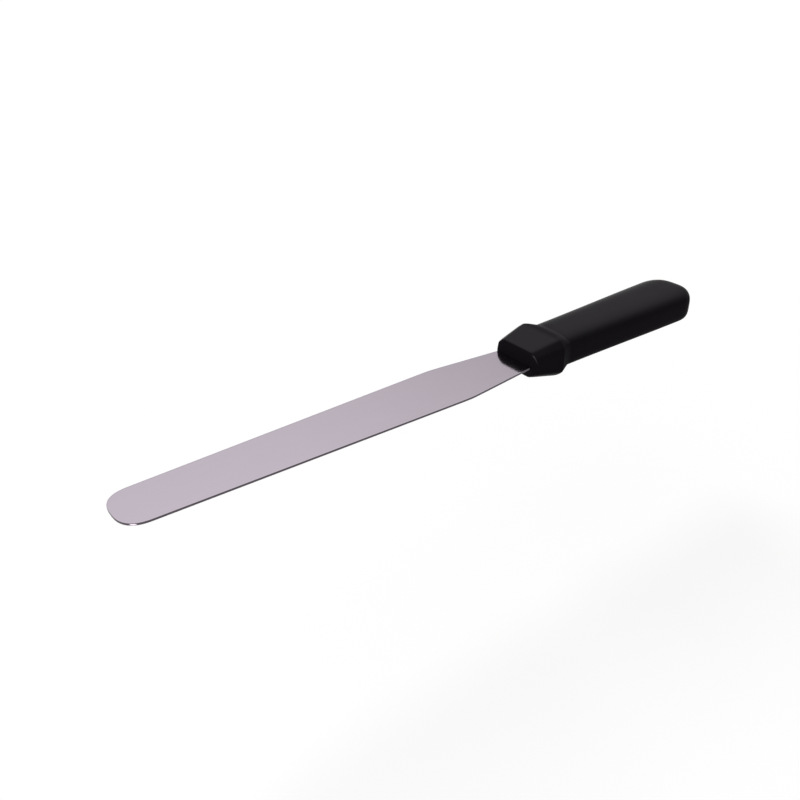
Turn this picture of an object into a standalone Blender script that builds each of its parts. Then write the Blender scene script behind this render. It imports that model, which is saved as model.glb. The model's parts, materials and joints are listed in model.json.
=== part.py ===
"""A flexible palette knife: a round-ended spring-steel blade with its tang moulded into a plastic handle.

Lengths are in metres and +Z is up. The blade is level and points along +X. The world origin is under the
middle of the knife, on the surface that it lies on. Each piece is drawn about the mouth, where the blade
leaves the handle, with the blade's mid-plane at z = 0, and an empty carries all of them to their place.
"""

import math

import bmesh
import bpy

# The blade's outline, measured forward from the mouth
BLADE_LENGTH = 0.1995
STEEL_THICKNESS = 0.0010
HEEL_WIDTH = 0.0225
SHOULDER_AT = 0.0407
SHOULDER_WIDTH = 0.0314
SHOULDER_ROUNDING = 0.00015
TIP_WIDTH = 0.0241
TIP_LENGTH = 0.0115
TIP_EXPONENT = 2.59

# The tang, measured backward from the mouth
TANG_ROOT_LENGTH = 0.006
TANG_STEP_LENGTH = 0.006
TANG_WIDTH = 0.013
TANG_LENGTH = 0.092
HOLES_AT = (0.030, 0.055, 0.080)
HOLE_RADIUS = 0.0026

# The handle, measured backward from the mouth, with half sizes about its own middle
HANDLE_LENGTH = 0.1241
HANDLE_LIFT = 0.00053
NOSE_HALF_WIDTH = 0.01261
NOSE_HALF_HEIGHT = 0.0020
NOSE_CORNER_WIDTH = 0.00051
NOSE_CORNER_LENGTH = 0.0045
BROW_AT = 0.00083
BROW_HALF_HEIGHT = 0.00665
GUARD_AT = 0.01749
GUARD_HALF_WIDTH = 0.01606
GUARD_HALF_HEIGHT = 0.00991
CREST_AT = 0.0150
GUARD_SHARPNESS = 36
CHAMFER_ACROSS = 0.692
CHAMFER_UP = 0.481
SHOULDER_EASE = 1.19
NECK_AT = 0.02543
NECK_HALF_WIDTH = 0.01317
NECK_HALF_HEIGHT = 0.00843
GRIP_EXPONENT = 3.55
GRIP_RISE = 0.0104
BUTT_AT = 0.1108
BUTT_HALF_WIDTH = 0.01566
BUTT_HALF_HEIGHT = 0.00895
BUTT_PLAN_EXPONENT = 2.4
BUTT_SIDE_EXPONENT = 5.5
BUTT_CUT = 0.99

# Fits and drawing steps
CLEARANCE = 0.0003
QUARTER_ANGLES = (0, 15, 27, 32.6, 40, 47, 53.1, 61, 70)
NOSE_RINGS = 4
CORNER_RINGS = 2
NECK_RINGS = 6
GRIP_RINGS = 6
BUTT_RINGS = 9
SHOULDER_STEPS = 8
TIP_STEPS = 14
STEP_STEPS = 8
ROUND_STEPS = 12
HOLE_STEPS = 24
SMOOTH_ANGLE = math.radians(35)

# Finishes from the photograph
STEEL_COLOUR = (0.52, 0.45, 0.52)
STEEL_ROUGHNESS = 0.28
PLASTIC_COLOUR = (0.014, 0.012, 0.015)
PLASTIC_ROUGHNESS = 0.38


def mix(a, b, share):
    return a + (b - a) * share


def share_between(value, start, end):
    """How far a value has gone from start to end, held between 0 and 1."""
    return min(max((value - start) / (end - start), 0), 1)


def smoothstep(share):
    return share * share * (3 - 2 * share)


def superellipse(share, exponent):
    """The height of a unit superellipse's quarter arc at a share of its base."""
    return (1 - share**exponent) ** (1 / exponent)


def make_collection(name):
    collection = bpy.data.collections.new(name)
    bpy.context.scene.collection.children.link(collection)
    return collection


def make_material(name, colour, roughness, metallic):
    material = bpy.data.materials.new(name)
    material.use_nodes = True
    shader = material.node_tree.nodes["Principled BSDF"]
    shader.inputs["Base Color"].default_value = (*colour, 1)
    shader.inputs["Roughness"].default_value = roughness
    shader.inputs["Metallic"].default_value = metallic
    return material


def blade_half_width(x):
    """Half the blade's width: a heel line and a body line that meet in a round, then a superellipse end."""
    body_length = BLADE_LENGTH - TIP_LENGTH
    heel = mix(HEEL_WIDTH, SHOULDER_WIDTH, x / SHOULDER_AT) / 2
    body = mix(SHOULDER_WIDTH, TIP_WIDTH, (x - SHOULDER_AT) / (body_length - SHOULDER_AT)) / 2
    rounded = (heel + body) / 2 - math.hypot((heel - body) / 2, SHOULDER_ROUNDING)
    if x <= body_length:
        return rounded
    return rounded * superellipse(min((x - body_length) / TIP_LENGTH, 1), TIP_EXPONENT)


def blade_stations():
    """Distances from the mouth at which the blade's outline needs a point."""
    yield CLEARANCE
    for i in range(SHOULDER_STEPS + 1):
        yield SHOULDER_AT * mix(0.7, 1.3, i / SHOULDER_STEPS)
    for i in range(TIP_STEPS + 1):
        yield BLADE_LENGTH - TIP_LENGTH * (1 - math.sin(math.pi / 2 * i / TIP_STEPS))


def tang_half_width(depth, grow):
    """Half the tang's width at a depth behind the mouth: a broad root, a smooth step and a round end."""
    step = share_between(depth, TANG_ROOT_LENGTH, TANG_ROOT_LENGTH + TANG_STEP_LENGTH)
    width = mix(HEEL_WIDTH, TANG_WIDTH, smoothstep(step))
    radius = TANG_WIDTH / 2 + grow
    past = depth - (TANG_LENGTH + grow - radius)
    if past <= 0:
        return width / 2 + grow
    return math.sqrt(max(radius**2 - past**2, 0))


def tang_stations(grow, front):
    """Depths behind the mouth at which the tang's outline needs a point. A cutter starts in front of it."""
    radius = TANG_WIDTH / 2 + grow
    yield front
    for i in range(STEP_STEPS + 1):
        yield TANG_ROOT_LENGTH + TANG_STEP_LENGTH * i / STEP_STEPS
    for i in range(ROUND_STEPS + 1):
        yield TANG_LENGTH + grow - radius * (1 - math.sin(math.pi / 2 * i / ROUND_STEPS))


def mirrored_outline(upper):
    """A closed outline from the points on its +Y side, which end on the axis."""
    return upper + [(x, -y) for x, y in reversed(upper[:-1])]


def circle_outline(x, radius, turn):
    """Points on a circle, turned by a share of the step between them."""
    angles = [math.tau * (i + turn) / HOLE_STEPS for i in range(HOLE_STEPS)]
    return [(x + radius * math.cos(angle), radius * math.sin(angle)) for angle in angles]


def plate_curve(name, outlines, thickness):
    """A flat plate about z = 0 from its outer outline and the outlines of its holes."""
    curve = bpy.data.curves.new(name, "CURVE")
    curve.dimensions = "2D"
    curve.fill_mode = "BOTH"
    curve.extrude = thickness / 2
    for outline in outlines:
        spline = curve.splines.new("POLY")
        spline.points.add(len(outline) - 1)
        for point, (x, y) in zip(spline.points, outline):
            point.co = (x, y, 0, 1)
        spline.use_cyclic_u = True
    return bpy.data.objects.new(name, curve)


def tang_outlines(grow, front):
    """The tang's outline and its holes. Each hole is turned, so no three of their points are in line."""
    upper = [(-depth, tang_half_width(depth, grow)) for depth in tang_stations(grow, front)]
    radius = HOLE_RADIUS - grow
    holes = [circle_outline(-depth, radius, i / len(HOLES_AT)) for i, depth in enumerate(HOLES_AT)]
    return [mirrored_outline(upper), *holes]


def as_mesh(curve_object):
    """The curve object's closed mesh in a new object of the same name."""
    name = curve_object.name
    graph = bpy.context.evaluated_depsgraph_get()
    mesh = bpy.data.meshes.new_from_object(curve_object.evaluated_get(graph))
    bpy.data.objects.remove(curve_object)
    shape = bmesh.new()
    shape.from_mesh(mesh)
    bmesh.ops.remove_doubles(shape, verts=shape.verts, dist=1e-6)
    bmesh.ops.recalc_face_normals(shape, faces=shape.faces)
    shape.to_mesh(mesh)
    shape.free()
    return bpy.data.objects.new(name, mesh)


def guard_half_sizes(depth):
    """Half width and half height of the guard, whose sides stop flaring at GUARD_AT."""
    # The sides flare along a line, which a parabola draws in at the nose's corners.
    corner = NOSE_CORNER_WIDTH * max(1 - depth / NOSE_CORNER_LENGTH, 0) ** 2
    half_width = mix(NOSE_HALF_WIDTH, GUARD_HALF_WIDTH, min(depth / GUARD_AT, 1)) - corner
    if depth <= BROW_AT:
        # The nose is a parabola from a narrow flat front up to the brow, the guard's upper front edge.
        return half_width, math.sqrt(mix(NOSE_HALF_HEIGHT**2, BROW_HALF_HEIGHT**2, depth / BROW_AT))
    share = (depth - BROW_AT) / (GUARD_AT - BROW_AT)
    return half_width, mix(BROW_HALF_HEIGHT, GUARD_HALF_HEIGHT, share)


def grip_half_sizes(depth):
    """Half width and half height of the grip, which swells to the butt and closes there."""
    share = share_between(depth, NECK_AT, BUTT_AT)
    past = BUTT_CUT * share_between(depth, BUTT_AT, HANDLE_LENGTH)
    half_width = mix(NECK_HALF_WIDTH, BUTT_HALF_WIDTH, (share + smoothstep(share)) / 2)
    half_height = mix(NECK_HALF_HEIGHT, BUTT_HALF_HEIGHT, share)
    return (
        half_width * superellipse(past, BUTT_PLAN_EXPONENT),
        half_height * superellipse(past, BUTT_SIDE_EXPONENT),
    )


def guard_reach(across, up):
    """How far a unit box with chamfered and slightly rounded edges reaches in a direction."""
    chamfer = CHAMFER_ACROSS * across + CHAMFER_UP * up
    power = GUARD_SHARPNESS
    return (across**power + up**power + chamfer**power) ** (-1 / power)


def grip_reach(across, up):
    """How far a unit superellipse reaches in a direction."""
    return (across**GRIP_EXPONENT + up**GRIP_EXPONENT) ** (-1 / GRIP_EXPONENT)


def shoulder_shares(depth):
    """How far width and height have gone from the guard's to the grip's.

    The width leaves the guard's sides at a crisp edge, and the height rolls over a soft crest.
    """
    narrowing = 1 - (1 - share_between(depth, GUARD_AT, NECK_AT)) ** SHOULDER_EASE
    return narrowing, smoothstep(share_between(depth, CREST_AT, NECK_AT))


def handle_stations():
    """Depths behind the mouth at which the handle's skin needs a ring."""
    for i in range(NOSE_RINGS):
        yield BROW_AT * (i / NOSE_RINGS) ** 2
    for i in range(CORNER_RINGS + 1):
        yield mix(BROW_AT, NOSE_CORNER_LENGTH, i / CORNER_RINGS)
    yield CREST_AT
    for i in range(NECK_RINGS):
        yield mix(GUARD_AT, NECK_AT, i / NECK_RINGS)
    for i in range(GRIP_RINGS):
        yield mix(NECK_AT, BUTT_AT, i / GRIP_RINGS)
    for i in range(BUTT_RINGS + 1):
        yield mix(BUTT_AT, HANDLE_LENGTH, math.sin(math.pi / 2 * i / BUTT_RINGS))


def ring_angles():
    """Angles round a section, closest on its corners: one on each of the guard's edges, none on its flats."""
    quarter = list(QUARTER_ANGLES)
    half = [*quarter, *(180 - angle for angle in reversed(quarter[1:]))]
    return [math.radians(angle) for angle in (*half, *(180 + angle for angle in half))]


def section_ring(depth):
    """Points round the handle at one depth. Its middle is above the blade, and the grip rises to the butt."""
    guard_width, guard_height = guard_half_sizes(depth)
    grip_width, grip_height = grip_half_sizes(depth)
    narrowing, lowering = shoulder_shares(depth)
    middle = HANDLE_LIFT + GRIP_RISE * max(depth - NECK_AT, 0)
    ring = []
    for angle in ring_angles():
        across, up = math.cos(angle), math.sin(angle)
        guard = guard_reach(abs(across), abs(up))
        grip = grip_reach(abs(across), abs(up))
        y = mix(guard_width * guard, grip_width * grip, narrowing) * across
        z = mix(guard_height * guard, grip_height * grip, lowering) * up
        ring.append((-depth, y, z + middle))
    return ring


def loft(name, rings):
    """A closed solid whose skin bridges the rings in turn, with a flat face at each end."""
    shape = bmesh.new()
    loops = []
    for ring in rings:
        corners = [shape.verts.new(point) for point in ring]
        loops.append([shape.edges.new((corners[i - 1], corners[i])) for i in range(len(corners))])
    for first, second in zip(loops, loops[1:]):
        bmesh.ops.bridge_loops(shape, edges=first + second)
    for end in (loops[0], loops[-1]):
        bmesh.ops.edgeloop_fill(shape, edges=end)
    bmesh.ops.recalc_face_normals(shape, faces=shape.faces)
    mesh = bpy.data.meshes.new(name)
    shape.to_mesh(mesh)
    shape.free()
    mesh.shade_smooth()
    mesh.set_sharp_from_angle(angle=SMOOTH_ANGLE)
    return bpy.data.objects.new(name, mesh)


def make_blade():
    upper = [(x, blade_half_width(x)) for x in blade_stations()]
    return plate_curve("blade", [mirrored_outline(upper)], STEEL_THICKNESS)


def make_tang():
    return plate_curve("tang", tang_outlines(0, 0), STEEL_THICKNESS)


def make_slot_cutter():
    """The tang with a clearance all round. Its smaller holes leave the pegs standing in the handle."""
    thickness = STEEL_THICKNESS + 2 * CLEARANCE
    return plate_curve("slot_cutter", tang_outlines(CLEARANCE, -STEEL_THICKNESS), thickness)


def make_handle(rings, slot_cutter):
    handle = loft("handle", rings)
    slot = handle.modifiers.new("tang slot", "BOOLEAN")
    slot.operation = "DIFFERENCE"
    slot.solver = "EXACT"
    slot.object = slot_cutter
    return handle


def main():
    for old in list(bpy.data.objects):
        bpy.data.objects.remove(old)
    parts = make_collection("palette_knife")
    cutters = make_collection("cutters")
    steel = make_material("satin_steel", STEEL_COLOUR, STEEL_ROUGHNESS, 1.0)
    plastic = make_material("black_plastic", PLASTIC_COLOUR, PLASTIC_ROUGHNESS, 0.0)

    # The knife's box is centred in X, and the handle's lowest point is on z = 0.
    rings = [section_ring(depth) for depth in handle_stations()]
    lowest = min(z for ring in rings for x, y, z in ring)
    mouth = bpy.data.objects.new("mouth", None)
    mouth.location = ((HANDLE_LENGTH - BLADE_LENGTH) / 2, 0, -lowest)
    parts.objects.link(mouth)

    slot_curve = make_slot_cutter()
    cutters.objects.link(slot_curve)
    slot_cutter = as_mesh(slot_curve)
    cutters.objects.link(slot_cutter)
    slot_cutter.hide_render = True
    slot_cutter.display_type = "WIRE"
    slot_cutter.parent = mouth

    made = ((make_blade(), steel), (make_tang(), steel), (make_handle(rings, slot_cutter), plastic))
    for piece, material in made:
        piece.data.materials.append(material)
        piece.parent = mouth
        parts.objects.link(piece)


main()
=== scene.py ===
# %% [markdown]
# A flexible palette knife, dressed over its solids
#
# The real knife has two pieces: a long spring-steel blade whose tang is hidden in the handle, and a black
# plastic handle moulded round that tang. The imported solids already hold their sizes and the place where
# the blade bends. This lesson draws finer surfaces in the same places, gives them their finishes, and
# sets up the floor, the light and the camera.

# %% The frame and its measures
import json
import math
import bmesh
import bpy
import numpy as np
from mathutils import Matrix, Vector


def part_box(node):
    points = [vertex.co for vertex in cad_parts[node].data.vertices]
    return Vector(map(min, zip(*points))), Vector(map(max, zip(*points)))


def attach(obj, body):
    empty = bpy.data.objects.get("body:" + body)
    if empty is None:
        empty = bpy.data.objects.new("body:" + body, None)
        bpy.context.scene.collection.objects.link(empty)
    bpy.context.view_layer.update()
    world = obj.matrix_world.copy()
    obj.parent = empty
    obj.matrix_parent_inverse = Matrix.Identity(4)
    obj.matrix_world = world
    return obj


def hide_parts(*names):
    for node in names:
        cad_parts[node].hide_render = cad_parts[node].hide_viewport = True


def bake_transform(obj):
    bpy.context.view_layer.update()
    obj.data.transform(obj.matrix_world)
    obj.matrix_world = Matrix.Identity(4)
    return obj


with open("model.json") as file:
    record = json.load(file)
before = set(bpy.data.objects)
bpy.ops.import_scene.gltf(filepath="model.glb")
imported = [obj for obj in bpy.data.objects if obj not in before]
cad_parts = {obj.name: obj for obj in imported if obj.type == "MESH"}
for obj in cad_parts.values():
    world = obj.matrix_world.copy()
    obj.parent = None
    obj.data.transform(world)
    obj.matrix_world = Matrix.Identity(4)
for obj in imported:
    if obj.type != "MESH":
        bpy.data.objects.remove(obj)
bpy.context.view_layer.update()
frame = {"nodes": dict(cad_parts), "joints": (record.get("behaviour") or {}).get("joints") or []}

# Lengths are in metres. What is printed is in millimetres where that reads better.
MM = 1000

# The mouth is where the blade leaves the handle. The joint that lets the blade bend sits there.
MOUTH = np.array(frame["joints"][0]["pos_m"])
blade_low, blade_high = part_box("blade")
handle_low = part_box("handle")[0]
BLADE_LENGTH = blade_high.x - MOUTH[0]
STEEL_THICKNESS = blade_high.z - blade_low.z
HANDLE_LENGTH = MOUTH[0] - handle_low.x
print(f"mouth at {MOUTH.round(4)}, blade {BLADE_LENGTH:.4f} m, handle {HANDLE_LENGTH:.4f} m")

# %% [markdown]
# Helpers for shapes
#
# Every surface here is a function of two parameters: how far along the knife, and how far round the
# section. numpy works out the whole grid of points at once, and one helper turns any such grid into a
# closed mesh. A mesh made point by point in Python loops would do the same, slower and harder to read.


# %% Curves that the shapes share
def mix(a, b, share):
    """The value a share of the way from a to b."""
    return a + (b - a) * share


def smoothstep(share):
    """3s² - 2s³ for s held between 0 and 1: a step that starts and ends level."""
    share = np.clip(share, 0, 1)
    return share * share * (3 - 2 * share)


def soft_min(a, b, rounding):
    """The smaller of a and b, with the corner where they cross rounded: their mean less a hypotenuse."""
    return (a + b) / 2 - np.hypot((a - b) / 2, rounding)


def signed_power(value, exponent):
    """The value's size raised to the exponent, with its sign kept, as superellipses need."""
    return np.sign(value) * np.abs(value) ** exponent


print("a smoothstep at quarters of its way:", smoothstep(np.linspace(0, 1, 5)).round(3))

# %% From a grid of points to a closed mesh
MERGE_DISTANCE = 1e-7


def skin(name, grid, marks=()):
    """A closed mesh whose rows are rings. The first and the last row have shrunk to a point or a line.

    Marks are named numbers, one for each point of the grid, that a finish can read.
    """
    rows, around = grid.shape[:2]
    index = np.arange(rows * around).reshape(rows, around)
    beside = np.roll(index, -1, axis=1)
    quads = np.stack([index[:-1], index[1:], beside[1:], beside[:-1]], axis=-1).reshape(-1, 4)
    mesh = bpy.data.meshes.new(name)
    mesh.from_pydata(grid.reshape(-1, 3), [], quads)
    for mark, numbers in dict(marks).items():
        layer = mesh.attributes.new(mark, "FLOAT", "POINT")
        layer.data.foreach_set("value", numbers.astype(np.float32).ravel())
    shape = bmesh.new()
    shape.from_mesh(mesh)
    bmesh.ops.remove_doubles(shape, verts=shape.verts, dist=MERGE_DISTANCE)
    bmesh.ops.recalc_face_normals(shape, faces=shape.faces)
    shape.to_mesh(mesh)
    shape.free()
    mesh.shade_smooth()
    piece = bpy.data.objects.new(name, mesh)
    bpy.context.scene.collection.objects.link(piece)
    print(f"{name}: {len(mesh.vertices)} points, {len(mesh.polygons)} faces")
    return piece


print(f"points within {MERGE_DISTANCE} m of each other become one")

# %% [markdown]
# The blade
#
# The blade is stamped from one sheet of spring steel. It widens from the heel to a shoulder, tapers
# gently to the far end and closes in a flattened round, and its edges are eased. It could be an
# extruded outline with a bevel, but then the long faces would have no points to bend by. So the outline
# is a formula, and a thin ring follows it: round the eased edge, across the top, round the other edge
# and back underneath.

# %% The blade's outline
HEEL_WIDTH = 0.0225
SHOULDER_AT = 0.0407
SHOULDER_WIDTH = 0.0314
SHOULDER_ROUNDING = 0.00015
TIP_WIDTH = 0.0241
TIP_LENGTH = 0.0115
TIP_EXPONENT = 2.59


def blade_half_width(x):
    """Half the width at x from the mouth: a heel line and a body line that meet in a small round."""
    heel = mix(HEEL_WIDTH, SHOULDER_WIDTH, x / SHOULDER_AT) / 2
    body_length = BLADE_LENGTH - TIP_LENGTH - SHOULDER_AT
    body = mix(SHOULDER_WIDTH, TIP_WIDTH, (x - SHOULDER_AT) / body_length) / 2
    return soft_min(heel, body, SHOULDER_ROUNDING)


def blade_outline(body_rows, tip_rows, hidden_length):
    """x and half width along one side: the body in even steps, then a superellipse round the end.

    On the superellipse x grows as sin^(2/m) and the width shrinks as cos^(2/m) of the same angle.
    """
    body_x = np.linspace(-hidden_length, BLADE_LENGTH - TIP_LENGTH, body_rows, endpoint=False)
    angle = np.linspace(0, math.pi / 2, tip_rows)
    tip_x = BLADE_LENGTH - TIP_LENGTH * (1 - np.sin(angle) ** (2 / TIP_EXPONENT))
    closing = np.cos(angle).clip(0) ** (2 / TIP_EXPONENT)
    closing[-1] = 0
    x = np.concatenate([body_x, tip_x])
    half_width = blade_half_width(x)
    half_width[body_rows:] *= closing
    return x, half_width


def outline_normals(x, half_width):
    """The unit normal at each place: the outline's own direction, turned a quarter outwards."""
    along = np.stack([np.gradient(x), np.gradient(half_width)])
    along /= np.hypot(*along)
    normal_x, normal_y = -along[1], along[0]
    normal_x[-1], normal_y[-1] = 1, 0
    return normal_x, normal_y


print(f"the blade is {2 * MM * blade_half_width(SHOULDER_AT):.1f} mm wide at its shoulder")

# %% The blade's surface
EDGE_EASING = 0.00014
EDGE_EXPONENT = 3.2
EDGE_FLAT = 0.0006
EDGE_SHARPNESS = 1.6
EDGE_POINTS = 13
FLAT_POINTS = 14
BODY_ROWS = 190
TIP_ROWS = 60
HIDDEN_LENGTH = 0.0012


def blade_grid():
    """The ring at each place along the outline, carried along it, and a mark that is 1 on the cut edge.

    The eased edge is a superellipse from the lower to the upper face. It stands square to the outline,
    so every point of it moves inwards along the outline's own normal.
    """
    x, half_width = blade_outline(BODY_ROWS, TIP_ROWS, HIDDEN_LENGTH)
    normal_x, normal_y = outline_normals(x, half_width)

    turn = np.linspace(-math.pi / 2, math.pi / 2, EDGE_POINTS)
    inset = EDGE_EASING * (1 - np.cos(turn).clip(0) ** (2 / EDGE_EXPONENT))
    height = signed_power(np.sin(turn), 2 / EDGE_EXPONENT) * STEEL_THICKNESS / 2
    inset = np.concatenate([[EDGE_EASING + EDGE_FLAT], inset, [EDGE_EASING + EDGE_FLAT]])
    height = np.concatenate([height[:1], height, height[-1:]])
    cut = np.concatenate([[0], smoothstep(EDGE_SHARPNESS * np.cos(turn)), [0]])

    edge_x = x[:, None] - normal_x[:, None] * inset
    edge_y = (half_width[:, None] - normal_y[:, None] * inset).clip(0)
    edge_z = np.broadcast_to(height, edge_x.shape)
    near = np.stack([edge_x, edge_y, edge_z], axis=-1)
    far = near[:, ::-1] * (1, -1, 1)

    share = np.linspace(0, 1, FLAT_POINTS + 2)[1:-1, None]
    top = mix(near[:, -1:], far[:, :1], share)
    under = mix(far[:, -1:], near[:, :1], share)
    rings = np.concatenate([near, top, far, under], axis=1)
    back_end = np.broadcast_to(rings[:1].mean(axis=1, keepdims=True), rings[:1].shape)
    grid = np.concatenate([back_end, rings]) + MOUTH
    cut_edge = np.concatenate([cut, np.zeros(FLAT_POINTS), cut, np.zeros(FLAT_POINTS)])
    return grid, np.broadcast_to(cut_edge, grid.shape[:2])


blade_points, blade_cut_edge = blade_grid()
blade = skin("blade_sheet", blade_points, {"cut_edge": blade_cut_edge})

# %% [markdown]
# Where the blade would bend
#
# On the real knife the whole blade curves like a springboard, while its heel stays in the handle. The
# solids turn rigidly at the mouth. This cell works out the stretch over which the finer blade would bend,
# from just behind the mouth to a little past the tip, fixes the finer blade in place and hides the solid
# blade. Blended between the two bodies over that stretch, the blade would come close to the curve of a
# springboard, nearly straight towards its end, at a small price: at the limits it would be a few hundredths
# longer along its curve, and its tip a few millimetres short of the solid's tip.

# %% The blade's bend
BEND_START = -0.15
BEND_END = 1.20

bend_start = MOUTH + (BEND_START * BLADE_LENGTH, 0, 0)
bend_end = MOUTH + (BEND_END * BLADE_LENGTH, 0, 0)
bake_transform(blade)
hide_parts("blade")
print(f"the blade bends from x = {bend_start[0]:.3f} to {bend_end[0]:.3f} m")

# %% [markdown]
# The handle
#
# The handle is one moulding. A wedge-shaped guard keeps the fingers off the blade: it has a steep front
# with a brow along its upper edge, flat sides that flare backwards and a chamfer on each long edge. Behind
# it the sides end at a crisp edge and the top rolls over a soft crest, and both drop into the grip, a
# rounded bar that swells towards a blunt butt. Sculpting would do it, but only two sections are needed, a
# chamfered box and a superellipse. So the skin is one formula: the two sections, their half sizes along
# the handle, and shares that go from one to the other.

# %% The guard's half sizes
NOSE_HALF_WIDTH = 0.01261
NOSE_HALF_HEIGHT = 0.0020
NOSE_CORNER_WIDTH = 0.00051
NOSE_CORNER_LENGTH = 0.0045
BROW_AT = 0.00083
BROW_HALF_HEIGHT = 0.00665
BROW_ROUNDING = 0.00010
GUARD_AT = 0.01749
GUARD_HALF_WIDTH = 0.01606
GUARD_HALF_HEIGHT = 0.00991


def guard_half_sizes(depth):
    """The width is a line up to GUARD_AT, drawn in by a parabola at the nose's corners.

    The height is a parabola up the nose and a line along the top, with a brow between.
    """
    corner = NOSE_CORNER_WIDTH * np.clip(1 - depth / NOSE_CORNER_LENGTH, 0, 1) ** 2
    half_width = mix(NOSE_HALF_WIDTH, GUARD_HALF_WIDTH, np.minimum(depth / GUARD_AT, 1)) - corner
    nose_square = mix(NOSE_HALF_HEIGHT**2, BROW_HALF_HEIGHT**2, depth / BROW_AT)
    line = mix(BROW_HALF_HEIGHT, GUARD_HALF_HEIGHT, (depth - BROW_AT) / (GUARD_AT - BROW_AT))
    return half_width, soft_min(np.sqrt(nose_square), line, BROW_ROUNDING)


guard_width, guard_height = guard_half_sizes(GUARD_AT)
print(f"the guard's box is {2 * MM * guard_width:.1f} x {2 * MM * guard_height:.1f} mm where its sides end")

# %% The grip's half sizes
NECK_AT = 0.02543
NECK_HALF_WIDTH = 0.01317
NECK_HALF_HEIGHT = 0.00843
BUTT_AT = 0.1108
BUTT_HALF_WIDTH = 0.01566
BUTT_HALF_HEIGHT = 0.00895
BUTT_PLAN_EXPONENT = 2.4
BUTT_SIDE_EXPONENT = 5.5
BUTT_CUT = 0.99


def grip_half_sizes(depth):
    """The height is a line and the width lies midway between a line and a smoothstep.

    Past BUTT_AT both close as superellipses: rounder in the plan than in the side view.
    """
    swell = np.clip((depth - NECK_AT) / (BUTT_AT - NECK_AT), 0, 1)
    past = BUTT_CUT * np.clip((depth - BUTT_AT) / (HANDLE_LENGTH - BUTT_AT), 0, 1)
    half_width = mix(NECK_HALF_WIDTH, BUTT_HALF_WIDTH, (swell + smoothstep(swell)) / 2)
    half_height = mix(NECK_HALF_HEIGHT, BUTT_HALF_HEIGHT, swell)
    plan = (1 - past**BUTT_PLAN_EXPONENT) ** (1 / BUTT_PLAN_EXPONENT)
    side = (1 - past**BUTT_SIDE_EXPONENT) ** (1 / BUTT_SIDE_EXPONENT)
    return half_width * plan, half_height * side


for place_name, depth in (("neck", NECK_AT), ("butt", BUTT_AT)):
    grip_width, grip_height = grip_half_sizes(depth)
    print(f"the grip is {2 * MM * grip_width:.1f} x {2 * MM * grip_height:.1f} mm at the {place_name}")

# %% The two sections
GUARD_SHARPNESS = 36
CHAMFER_ACROSS = 0.692
CHAMFER_UP = 0.481
GRIP_EXPONENT = 3.55


def guard_reach(across, up):
    """How far the unit box with chamfered edges reaches in a direction: (a^p + u^p + c^p)^(-1/p).

    a, u and c are the direction's shares along the side, the top and the chamfer. A high power p makes the
    edges between them crisp.
    """
    chamfer = CHAMFER_ACROSS * across + CHAMFER_UP * up
    power = GUARD_SHARPNESS
    return (across**power + up**power + chamfer**power) ** (-1 / power)


def grip_reach(across, up):
    """How far the unit superellipse reaches in a direction: (a^m + u^m)^(-1/m)."""
    return (across**GRIP_EXPONENT + up**GRIP_EXPONENT) ** (-1 / GRIP_EXPONENT)


diagonal = math.sqrt(1 / 2)
reaches = guard_reach(diagonal, diagonal), grip_reach(diagonal, diagonal)
print("along the diagonal the guard's and the grip's sections reach", np.round(reaches, 3))

# %% Where the handle's rings lie
ROW_CROWDING = 1.5
NOSE_ROWS = 40
GUARD_ROWS = 36
SHOULDER_ROWS = 48
GRIP_ROWS = 60
BUTT_ROWS = 70


def handle_depths():
    """Depths of the rings, closest together where the skin turns: at the nose, the shoulder and the butt."""
    nose = NOSE_CORNER_LENGTH * np.linspace(0, 1, NOSE_ROWS, endpoint=False) ** ROW_CROWDING
    guard = np.linspace(NOSE_CORNER_LENGTH, GUARD_AT, GUARD_ROWS, endpoint=False)
    shoulder = mix(GUARD_AT, NECK_AT, np.linspace(0, 1, SHOULDER_ROWS, endpoint=False) ** ROW_CROWDING)
    grip = np.linspace(NECK_AT, BUTT_AT, GRIP_ROWS, endpoint=False)
    butt = mix(BUTT_AT, HANDLE_LENGTH, np.sin(np.linspace(0, math.pi / 2, BUTT_ROWS)))
    return np.concatenate([nose, guard, shoulder, grip, butt])


closest = np.diff(handle_depths()).min()
print(f"the closest rings are {MM * closest:.3f} mm apart")

# %% The handle's surface
CREST_AT = 0.0150
SHOULDER_EASE = 1.19
HANDLE_LIFT = 0.00053
GRIP_RISE = 0.0104
AROUND = 320
CORNERS = 4
CORNER_DRAW = 0.15
CAP_ROWS = 6


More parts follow.
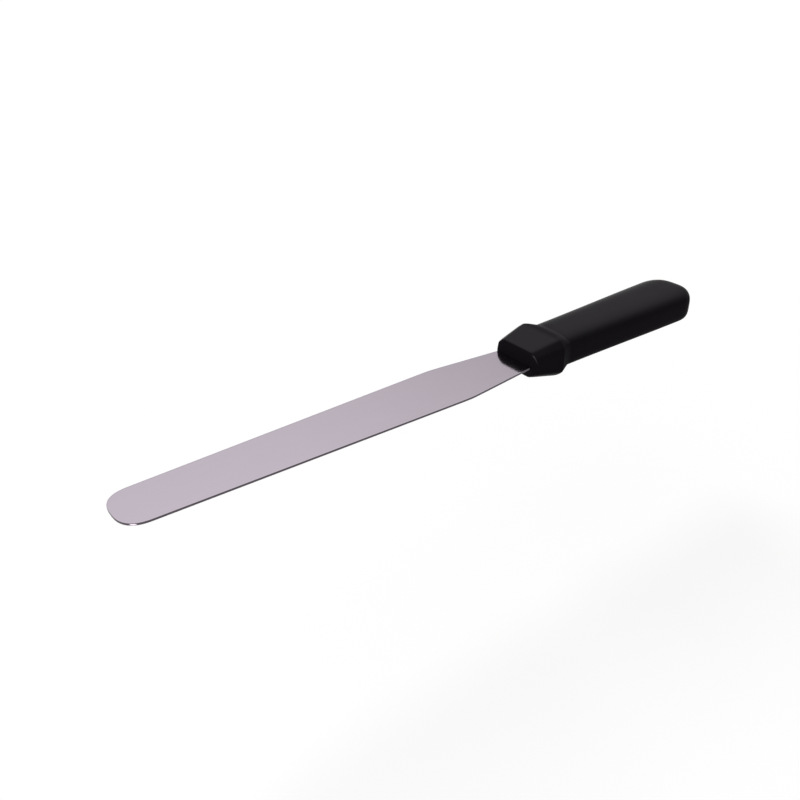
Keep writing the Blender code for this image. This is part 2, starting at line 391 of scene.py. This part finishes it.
def handle_grid():
    """Rings of y = width * reach * cos and z = height * reach * sin of the angle round the section.

    A sine draws the angles towards the section's corners, so that more points lie where it turns.
    From the guard's ring to the grip's goes one share for the width and another for the height. The first
    is 1 - (1 - s)^e, which leaves the guard's sides at a crisp edge. The second is a smoothstep, which rolls
    over a soft crest on the top. The handle's middle lies a little above the blade, the grip's rings rise
    along a slight slope, and both ends are closed by copies of the last ring, shrunk step by step to a point.
    """
    depth = handle_depths()[:, None]
    even = np.linspace(0, math.tau, AROUND, endpoint=False)
    angle = even + CORNER_DRAW * np.sin(CORNERS * even)
    across, up = np.cos(angle), np.sin(angle)
    guard = guard_reach(np.abs(across), np.abs(up))
    grip = grip_reach(np.abs(across), np.abs(up))
    guard_width, guard_height = guard_half_sizes(depth)
    grip_width, grip_height = grip_half_sizes(depth)
    narrowing = 1 - np.clip((NECK_AT - depth) / (NECK_AT - GUARD_AT), 0, 1) ** SHOULDER_EASE
    lowering = smoothstep((depth - CREST_AT) / (NECK_AT - CREST_AT))

    y = mix(guard_width * guard, grip_width * grip, narrowing) * across
    z = mix(guard_height * guard, grip_height * grip, lowering) * up
    rings = np.stack([np.broadcast_to(-depth, y.shape), y, z], axis=-1)
    shrink = np.linspace(0, 1, CAP_ROWS, endpoint=False)[:, None, None]
    front = rings[:1] * np.concatenate([np.ones_like(shrink), shrink, shrink], axis=-1)
    back = rings[-1:] * np.concatenate([np.ones_like(shrink), shrink[::-1], shrink[::-1]], axis=-1)
    grid = np.concatenate([front, rings, back])
    grid[..., 2] += HANDLE_LIFT + GRIP_RISE * np.clip(-grid[..., 0] - NECK_AT, 0, None)
    return grid + MOUTH


handle_points = handle_grid()
print(f"the handle has {len(handle_points)} rings of {AROUND} points")

# %% [markdown]
# Where the handle is matt, polished and painted with a highlight
#
# The plastic isn't alike all over. The corner behind the guard is matt, the upper faces shine as if palm
# and thumb had polished them, and a thin grey line of painted highlight runs down each front corner of the
# guard. Such places could be painted by hand, but a finish can also read numbers that the mesh carries for
# each point. Here each mark is a formula of the place and of the way the skin faces, so both sides of the
# handle come out alike.


# %% The matt corner
SHOULDER_FADE_IN = 0.0003
SHOULDER_FADE_OUT = 0.004
CREST_SHARE = 0.35
SIDE_SHARE = 0.30
SIDE_STEEPNESS = 2


def depth_of(grid):
    """How far each point lies behind the mouth."""
    return MOUTH[0] - grid[..., 0]


def shoulder_mark(grid):
    """1 in the corner behind the guard's crest, less at its sides, and 0 on the guard and on the grip."""
    depth = depth_of(grid)
    aside = np.abs(grid[..., 1]) / GUARD_HALF_WIDTH
    behind_edge = smoothstep(1 + (depth - GUARD_AT) / SHOULDER_FADE_IN)
    along_grip = smoothstep((depth - NECK_AT) / SHOULDER_FADE_OUT)
    at_side = smoothstep((aside - CREST_SHARE) / (1 - CREST_SHARE) * SIDE_STEEPNESS)
    return behind_edge * (1 - along_grip) * mix(1, SIDE_SHARE, at_side)


shoulder = shoulder_mark(handle_points)
print(f"matt corner on {np.mean(shoulder > 0):.0%} of the handle's points")

# %% The polished top
POLISH_LOW = 0.50
POLISH_HIGH = 0.85
POLISH_START = 0.0008
POLISH_FULL = 0.0016
TOP_GLOSS = 0.21
FALL_DULLING = 0.8
LEAST_NORMAL = 1e-12


def polished_top(grid):
    """1 on the faces behind the brow that look up, and 0 elsewhere.

    The way a face looks is its normal: the cross product of the grid's two directions.
    """
    along = np.gradient(grid, axis=0)
    around = np.roll(grid, -1, axis=1) - np.roll(grid, 1, axis=1)
    normal = np.cross(along, around)
    facing_up = normal[..., 2] / np.linalg.norm(normal, axis=-1).clip(LEAST_NORMAL)
    behind_brow = smoothstep((depth_of(grid) - POLISH_START) / (POLISH_FULL - POLISH_START))
    return behind_brow * smoothstep((facing_up - POLISH_LOW) / (POLISH_HIGH - POLISH_LOW))


def falling_top(grid):
    """4s(1 - s) from the crest to the neck: 1 where the top falls fastest, and 0 at both ends."""
    share = np.clip((depth_of(grid) - CREST_AT) / (NECK_AT - CREST_AT), 0, 1)
    return 4 * share * (1 - share)


gloss = TOP_GLOSS * polished_top(handle_points) * (1 - FALL_DULLING * falling_top(handle_points))
print(f"gloss {gloss.mean():.2f} on average, {gloss.max():.2f} at most")

# %% The painted highlight on the guard's corners
# The grey line down the guard's front corners is a painted highlight.
HIGHLIGHT_TOP = 0.0064
HIGHLIGHT_FOOT = 0.0015
HIGHLIGHT_DEPTH = 0.00110
HIGHLIGHT_SWEEP = 0.0018
HIGHLIGHT_WIDTH = 0.0005
HIGHLIGHT_START = 8


def corner_highlight_mark(grid):
    """A thin painted highlight down each front corner of the guard: it sweeps back as the square of its drop
    and fades.

    It comes in over the first part of the drop, 1 / HIGHLIGHT_START of it.
    """
    drop = np.clip((HIGHLIGHT_TOP - grid[..., 2] + MOUTH[2]) / (HIGHLIGHT_TOP - HIGHLIGHT_FOOT), 0, 1)
    off_line = np.abs(depth_of(grid) - HIGHLIGHT_DEPTH - HIGHLIGHT_SWEEP * drop**2)
    return smoothstep(HIGHLIGHT_START * drop) * (1 - drop) * (1 - smoothstep(off_line / HIGHLIGHT_WIDTH))


painted_highlight = corner_highlight_mark(handle_points)
print(f"scuff on {np.count_nonzero(painted_highlight)} points, {painted_highlight.max():.2f} at most")

# %% The handle's mesh
handle_marks = {"shoulder": shoulder, "gloss": gloss, "painted_highlight": painted_highlight}
handle_skin = skin("handle_moulding", handle_points, handle_marks)
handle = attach(handle_skin, "handle")
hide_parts("handle")


# %% [markdown]
# Shader maths
#
# A finish is a small program of nodes. Wiring them by hand takes several lines for every sum, so a small
# class wraps one output socket and lets Python's own operators add the Math nodes: 1 - mask is then a
# node too. Every other node comes from one method.


# %% A socket with arithmetic
class Wire:
    """One output of a node. Sums, differences and products with it add Math nodes to its tree."""

    def __init__(self, socket):
        self.socket = socket

    @staticmethod
    def add(tree, kind, settings=(), values=(), output=0):
        """A new node of this kind: first its settings, then the values or wires of its sockets."""
        node = tree.nodes.new(kind)
        for name, value in dict(settings).items():
            setattr(node, name, value)
        for key, value in dict(values).items():
            if isinstance(value, Wire):
                tree.links.new(value.socket, node.inputs[key])
            else:
                node.inputs[key].default_value = value
        return Wire(node.outputs[output])

    def output(self, name):
        """Another output of the same node."""
        return Wire(self.socket.node.outputs[name])

    def math(self, operation, first, second):
        """A Math node on two values or wires, in this wire's tree."""
        values = {0: first, 1: second}
        return Wire.add(self.socket.id_data, "ShaderNodeMath", {"operation": operation}, values)

    def __add__(self, other):
        return self.math("ADD", self, other)

    def __sub__(self, other):
        return self.math("SUBTRACT", self, other)

    def __rsub__(self, other):
        return self.math("SUBTRACT", other, self)

    def __mul__(self, other):
        return self.math("MULTIPLY", self, other)

    __radd__ = __add__
    __rmul__ = __mul__


print("with a Wire, +, - and * add Math nodes")

# %% Helpers for finishes
COLOUR_A, COLOUR_B, COLOUR_RESULT = 6, 7, 2


def new_finish(name):
    """An empty material, its tree and its Principled shader."""
    material = bpy.data.materials.new(name)
    material.use_nodes = True
    tree = material.node_tree
    return material, tree, tree.nodes["Principled BSDF"]


def feed(tree, shader, wires):
    """Links each wire to the shader's socket of that name."""
    for name, wire in wires.items():
        tree.links.new(wire.socket, shader.inputs[name])


def object_place(tree):
    """The point's place in the piece's own coordinates, which are the knife's."""
    return Wire.add(tree, "ShaderNodeTexCoord").output("Object")


def read_mark(tree, name):
    """A mark that the mesh carries for each point."""
    return Wire.add(tree, "ShaderNodeAttribute", {"attribute_name": name}).output("Fac")


def stretched_noise(tree, cells, detail=2.0, roughness=0.5):
    """Noise with its own number of cells to the metre along X, Y and Z."""
    mapped = Wire.add(tree, "ShaderNodeMapping", {}, {"Vector": object_place(tree), "Scale": cells})
    values = {"Vector": mapped, "Scale": 1.0, "Detail": detail, "Roughness": roughness}
    return Wire.add(tree, "ShaderNodeTexNoise", {}, values)


def blend_colours(tree, share, first, second):
    """A Mix node that goes from the first colour to the second."""
    settings = {"data_type": "RGBA", "clamp_factor": True}
    values = {"Factor": share, COLOUR_A: first, COLOUR_B: second}
    return Wire.add(tree, "ShaderNodeMix", settings, values, COLOUR_RESULT)


def relief(tree, height, strength, depth):
    """A Bump node: a height from 0 to 1 that stands for this depth in metres."""
    values = {"Strength": strength, "Distance": depth, "Height": height}
    return Wire.add(tree, "ShaderNodeBump", {}, values)


print("shader helpers ready")

# %% [markdown]
# Satin steel
#
# The blade is stainless spring steel with a satin polish: a soft mirror with a faint lilac tint. Fine
# polishing lines run along it, wider streaks of polish lie between them, and handling leaves soft smudges
# that change the gloss. The stamped edge is duller, and its dark colour is a painted dark reflection. The
# lines are noise stretched along X, so they need no picture.

# %% The steel finish
STEEL_LIGHT = (0.690, 0.612, 0.700, 1)
STEEL_DARK = (0.640, 0.566, 0.650, 1)
# The cut edge's dark colour is a painted dark reflection, not the steel's own tone.
STEEL_EDGE_PAINTED_DARK = (0.095, 0.082, 0.094, 1)
STEEL_ROUGHNESS = 0.12

# Cells to the metre along X, Y and Z
LINE_CELLS = (18, 5200, 5200)
STREAK_CELLS = (9, 420, 420)
SMUDGE_CELLS = (38, 52, 52)
LINE_DETAIL = 1.0
STREAK_DETAIL = 3.0
SMUDGE_DETAIL = 3.0
SMUDGE_FINENESS = 0.6

# What each pattern adds to the tone and to the roughness
STREAK_TONE = 0.4
SMUDGE_TONE = 0.5
LINE_TONE = 0.1
LINE_ROUGHNESS = 0.03
SMUDGE_ROUGHNESS = 0.05
EDGE_ROUGHNESS = 0.06
LINE_STRENGTH = 0.12
LINE_RELIEF = 0.00002


def satin_steel():
    """Tone and roughness are sums of the patterns, and the lines are a fine relief."""
    material, tree, shader = new_finish("satin_steel_finish")
    lines = stretched_noise(tree, LINE_CELLS, LINE_DETAIL)
    streaks = stretched_noise(tree, STREAK_CELLS, STREAK_DETAIL)
    smudges = stretched_noise(tree, SMUDGE_CELLS, SMUDGE_DETAIL, SMUDGE_FINENESS)
    cut_edge = read_mark(tree, "cut_edge")
    tone = streaks * STREAK_TONE + smudges * SMUDGE_TONE + lines * LINE_TONE
    face_colour = blend_colours(tree, tone, STEEL_DARK, STEEL_LIGHT)
    # The cut edge is painted dark: a painted dark reflection.
    colour = blend_colours(tree, cut_edge, face_colour, STEEL_EDGE_PAINTED_DARK)
    least = STEEL_ROUGHNESS - (LINE_ROUGHNESS + SMUDGE_ROUGHNESS) / 2
    worn = least + lines * LINE_ROUGHNESS + smudges * SMUDGE_ROUGHNESS
    roughness = worn + cut_edge * EDGE_ROUGHNESS
    bump = relief(tree, lines, LINE_STRENGTH, LINE_RELIEF)
    feed(tree, shader, {"Base Color": colour, "Roughness": roughness, "Normal": bump})
    shader.inputs["Metallic"].default_value = 1.0
    return material


steel = satin_steel()
for piece in (blade, frame["nodes"]["tang"]):
    piece.data.materials.clear()
    piece.data.materials.append(steel)
print(f"{steel.name}: {len(steel.node_tree.nodes)} nodes")

# %% [markdown]
# Black plastic
#
# The handle is moulded in black plastic. The guard is smooth, and the grip has the fine even grain of an
# eroded mould. The sides are almost without gloss. The upper faces carry a clear coat, as strong as the
# gloss mark says. The corner behind the guard stays matt, and a painted highlight turns the guard's front
# corners grey along its mark.

# %% The plastic finish
PLASTIC_DARK = (0.0120, 0.0103, 0.0124, 1)
PLASTIC_LIGHT = (0.0147, 0.0126, 0.0152, 1)
# The grey of the painted highlight on the guard's front corners
PLASTIC_PAINTED_HIGHLIGHT = (0.115, 0.108, 0.117, 1)
PLASTIC_SPECULAR = 0.005
GLOSS_ROUGHNESS = 0.10
GUARD_ROUGHNESS = 0.35
GRIP_ROUGHNESS = 0.42
SHOULDER_MATT = 0.50
CLOUD_ROUGHNESS = 0.06
GRAIN_CELLS = (2600, 2600, 2600)
CLOUD_CELLS = (60, 60, 60)
CLOUD_DETAIL = 3.0
GRAIN_STRENGTH = 0.10
GRAIN_RELIEF = 0.00004


def black_plastic():
    """The grain comes in from the guard's edge to the neck, and the marks add gloss, matt and a painted
    highlight.
    """
    material, tree, shader = new_finish("black_plastic_finish")
    x = Wire.add(tree, "ShaderNodeSeparateXYZ", {}, {"Vector": object_place(tree)}).output("X")
    limits = {"Value": x, "From Min": MOUTH[0] - GUARD_AT, "From Max": MOUTH[0] - NECK_AT}
    grip = Wire.add(tree, "ShaderNodeMapRange", {"interpolation_type": "SMOOTHSTEP"}, limits)
    grain = stretched_noise(tree, GRAIN_CELLS)
    clouds = stretched_noise(tree, CLOUD_CELLS, CLOUD_DETAIL)
    clean_colour = blend_colours(tree, clouds, PLASTIC_DARK, PLASTIC_LIGHT)
    # The guard's front corners are painted grey: a painted highlight.
    colour = blend_colours(tree, read_mark(tree, "painted_highlight"), clean_colour, PLASTIC_PAINTED_HIGHLIGHT)
    matt = grip * (GRIP_ROUGHNESS - GUARD_ROUGHNESS) + read_mark(tree, "shoulder") * SHOULDER_MATT
    roughness = GUARD_ROUGHNESS - CLOUD_ROUGHNESS / 2 + (matt + clouds * CLOUD_ROUGHNESS)
    bump = relief(tree, grain * grip, GRAIN_STRENGTH, GRAIN_RELIEF)
    gloss = read_mark(tree, "gloss")
    wires = {"Base Color": colour, "Roughness": roughness, "Coat Weight": gloss, "Normal": bump}
    feed(tree, shader, wires)
    shader.inputs["Specular IOR Level"].default_value = PLASTIC_SPECULAR
    shader.inputs["Coat Roughness"].default_value = GLOSS_ROUGHNESS
    return material


plastic = black_plastic()
handle.data.materials.append(plastic)
print(f"{plastic.name}: {len(plastic.node_tree.nodes)} nodes")

# %% [markdown]
# The floor
#
# The knife is shown on plain white. The floor lies a little lower than the knife, so that the blade can
# bend down without going through it. The floor is a pale matt disc. A glow, seen only by the camera, by
# mirrors and by glass, lifts it just to white. A stronger glow would be whiter than white and hide the
# faint shadow that the knife throws.

# %% Floor
FLOOR_RADIUS = 12.0
FLOOR_DROP = 0.08
FLOOR_COLOUR = (0.20, 0.20, 0.20, 1)
FLOOR_GLOW = 0.78
FLOOR_ROUGHNESS = 0.9
FLOOR_POINTS = 96


def pale_floor():
    """A matt shader, and the same shader with a glow for camera, mirror and glass rays."""
    material, tree, shader = new_finish("pale_floor")
    shader.inputs["Base Color"].default_value = FLOOR_COLOUR
    shader.inputs["Roughness"].default_value = FLOOR_ROUGHNESS
    rays = Wire.add(tree, "ShaderNodeLightPath")
    seen = rays.output("Is Camera Ray") + rays.output("Is Glossy Ray") + rays.output("Is Transmission Ray")
    glow = Wire.add(tree, "ShaderNodeEmission", {}, {"Strength": FLOOR_GLOW})
    lit = Wire.add(tree, "ShaderNodeAddShader", {}, {0: Wire(shader.outputs[0]), 1: glow})
    shown = Wire.add(tree, "ShaderNodeMixShader", {}, {0: seen, 1: Wire(shader.outputs[0]), 2: lit})
    tree.links.new(shown.socket, tree.nodes["Material Output"].inputs["Surface"])
    return material


angle = np.linspace(0, math.tau, FLOOR_POINTS, endpoint=False)
rim = FLOOR_RADIUS * np.stack([np.cos(angle), np.sin(angle), np.zeros(FLOOR_POINTS)], axis=-1)
floor_mesh = bpy.data.meshes.new("floor")
floor_mesh.from_pydata(rim - (0, 0, FLOOR_DROP), [], [range(FLOOR_POINTS)])
floor_mesh.materials.append(pale_floor())
floor = bpy.data.objects.new("floor", floor_mesh)
bpy.context.scene.collection.objects.link(floor)
print(f"floor {FLOOR_DROP} m below the handle's lowest point")

# %% [markdown]
# Camera
#
# The photograph looks down on the knife from the blade's near side. Five measures set the camera: the lens,
# the turn round the knife, the tilt, the distance to the mouth and the pixel on which the mouth lands.

# %% The camera's place
PHOTO_SIZE = 800
MOUTH_PIXEL = (514.48, 358.75)
FOCAL_PIXELS = 828.4
MOUTH_DISTANCE = 0.400
TURN = math.radians(37.392)
TILT = math.radians(29.905)

right = np.array([-math.cos(TURN), math.sin(TURN), 0])
ahead = -np.array([math.sin(TURN) * math.cos(TILT), math.cos(TURN) * math.cos(TILT), math.sin(TILT)])
up = np.cross(right, ahead)
metres_per_pixel = MOUTH_DISTANCE / FOCAL_PIXELS
across = (MOUTH_PIXEL[0] - PHOTO_SIZE / 2) * metres_per_pixel
above = (PHOTO_SIZE / 2 - MOUTH_PIXEL[1]) * metres_per_pixel
blade_top = MOUTH + (0, 0, STEEL_THICKNESS / 2)
place = blade_top - across * right - above * up - MOUTH_DISTANCE * ahead
print(f"camera at {place.round(4)}")

# %% The camera
SENSOR = 36.0
NEAREST_SEEN = 0.01

camera_data = bpy.data.cameras.new("photo_camera")
camera_data.sensor_width = SENSOR
camera_data.lens = FOCAL_PIXELS / PHOTO_SIZE * SENSOR
camera_data.clip_start = NEAREST_SEEN
camera = bpy.data.objects.new("photo_camera", camera_data)
bpy.context.scene.collection.objects.link(camera)
matrix = np.eye(4)
matrix[:3, :3] = np.stack([right, up, -ahead], axis=1)
matrix[:3, 3] = place
camera.matrix_world = Matrix(matrix.tolist())
bpy.context.scene.camera = camera
bpy.context.scene.view_settings.view_transform = "Standard"
print(f"lens {camera_data.lens:.2f} mm")

# %% [markdown]
# The dome
#
# A soft dome lights the knife from all round. It is white at the horizon, where it meets the white floor
# without a step, and dimmer above. One broad bright patch lies high behind the knife, like a large soft
# box. The blade mirrors the lower edge of that patch, and this gives it the slow change of tone from the
# tip to the heel.

# %% World
HORIZON_LEVEL = 1.0
HORIZON_HEIGHT = 0.45
DOME_LEVEL = 0.27
PATCH_LEVEL = 0.61
PATCH_EDGE = 0.58
PATCH_TURN = math.radians(-110)
PATCH_TILT = math.radians(60)
WHITE = (1, 1, 1, 1)


def direction_of(turn, tilt):
    """The unit direction at a turn from +X and a tilt above the floor."""
    return Vector((math.cos(tilt) * math.cos(turn), math.cos(tilt) * math.sin(turn), math.sin(tilt)))


def soft_dome():
    """The dome's level, plus a smoothstep down from the horizon and one up to the middle of the patch."""
    world = bpy.data.worlds.new("soft_dome")
    world.use_nodes = True
    tree = world.node_tree
    direction = Wire.add(tree, "ShaderNodeTexCoord").output("Generated")
    height = Wire.add(tree, "ShaderNodeSeparateXYZ", {}, {"Vector": direction}).output("Z")
    smooth = {"interpolation_type": "SMOOTHSTEP"}
    low = {"Value": height, "From Min": 0.0, "From Max": HORIZON_HEIGHT, "To Min": 1.0, "To Max": 0.0}
    horizon = Wire.add(tree, "ShaderNodeMapRange", smooth, low)
    towards_patch = {0: direction, 1: direction_of(PATCH_TURN, PATCH_TILT)}
    facing = Wire.add(tree, "ShaderNodeVectorMath", {"operation": "DOT_PRODUCT"}, towards_patch, "Value")
    high = {"Value": facing, "From Min": PATCH_EDGE, "From Max": 1.0}
    near_patch = Wire.add(tree, "ShaderNodeMapRange", smooth, high)
    level = horizon * (HORIZON_LEVEL - DOME_LEVEL) + near_patch * PATCH_LEVEL + DOME_LEVEL
    tree.links.new(level.socket, tree.nodes["Background"].inputs["Strength"])
    tree.nodes["Background"].inputs["Color"].default_value = WHITE
    return world


bpy.context.scene.world = soft_dome()
print(f"dome at {DOME_LEVEL}, patch up to {DOME_LEVEL + PATCH_LEVEL:.2f}")

# %% [markdown]
# The lamps
#
# A soft key shines from behind the knife, below the bright patch. It lights the upper faces and leaves the
# near side and the front of the guard dark. Mirror rays don't see it, because it would draw hard white
# lines along the eased edges of the blade. One small lamp puts a spark on the near corner of the round
# end. The edge there stands upright, so the lamp lies low in front of it: a mirror's law gives its place.

# %% Where the spark comes from
SPARK_NORMAL = math.radians(56.5)


def spark_corner():
    """The place on the blade's near edge whose normal has the turn SPARK_NORMAL, and that normal."""
    x, half_width = blade_outline(BODY_ROWS, TIP_ROWS, HIDDEN_LENGTH)
    normal_x, normal_y = outline_normals(x, half_width)
    row = np.argmin(np.abs(np.arctan2(normal_y, normal_x) - SPARK_NORMAL))
    return MOUTH + (x[row], half_width[row], 0), np.array([normal_x[row], normal_y[row], 0])


def mirrored(direction, normal):
    """The direction d reflected at a normal n: 2(n.d)n - d."""
    return 2 * np.dot(normal, direction) * normal - direction


corner, corner_normal = spark_corner()
to_camera = (place - corner) / np.linalg.norm(place - corner)
to_spark = mirrored(to_camera, corner_normal)
print(f"the spark's corner is at {corner.round(4)}, and its lamp lies towards {to_spark.round(3)}")

# %% Lamps
KEY_TURN = math.radians(-100)
KEY_TILT = math.radians(40)
KEY_DISTANCE = 1.0
KEY_STRENGTH = 2.6
KEY_SOFTNESS = math.radians(24)
SPARK_DISTANCE = 0.10
SPARK_SIZE = 0.045
SPARK_POWER = 0.06


def add_lamp(name, kind, target, towards, distance):
    """A lamp at a distance from its target in a direction, turned to face the target."""
    lamp = bpy.data.objects.new(name, bpy.data.lights.new(name, kind))
    bpy.context.scene.collection.objects.link(lamp)
    lamp.location = Vector(target) + Vector(towards) * distance
    lamp.rotation_euler = Vector(towards).to_track_quat("Z", "Y").to_euler()
    print(f"{name} at {tuple(round(v, 3) for v in lamp.location)}")
    return lamp


key = add_lamp("key_lamp", "SUN", MOUTH, direction_of(KEY_TURN, KEY_TILT), KEY_DISTANCE)
key.data.energy, key.data.angle = KEY_STRENGTH, KEY_SOFTNESS
key.visible_glossy = False
spark = add_lamp("spark_lamp", "AREA", corner, to_spark, SPARK_DISTANCE)
spark.data.shape, spark.data.size, spark.data.energy = "DISK", SPARK_SIZE, SPARK_POWER
spark.visible_camera = False
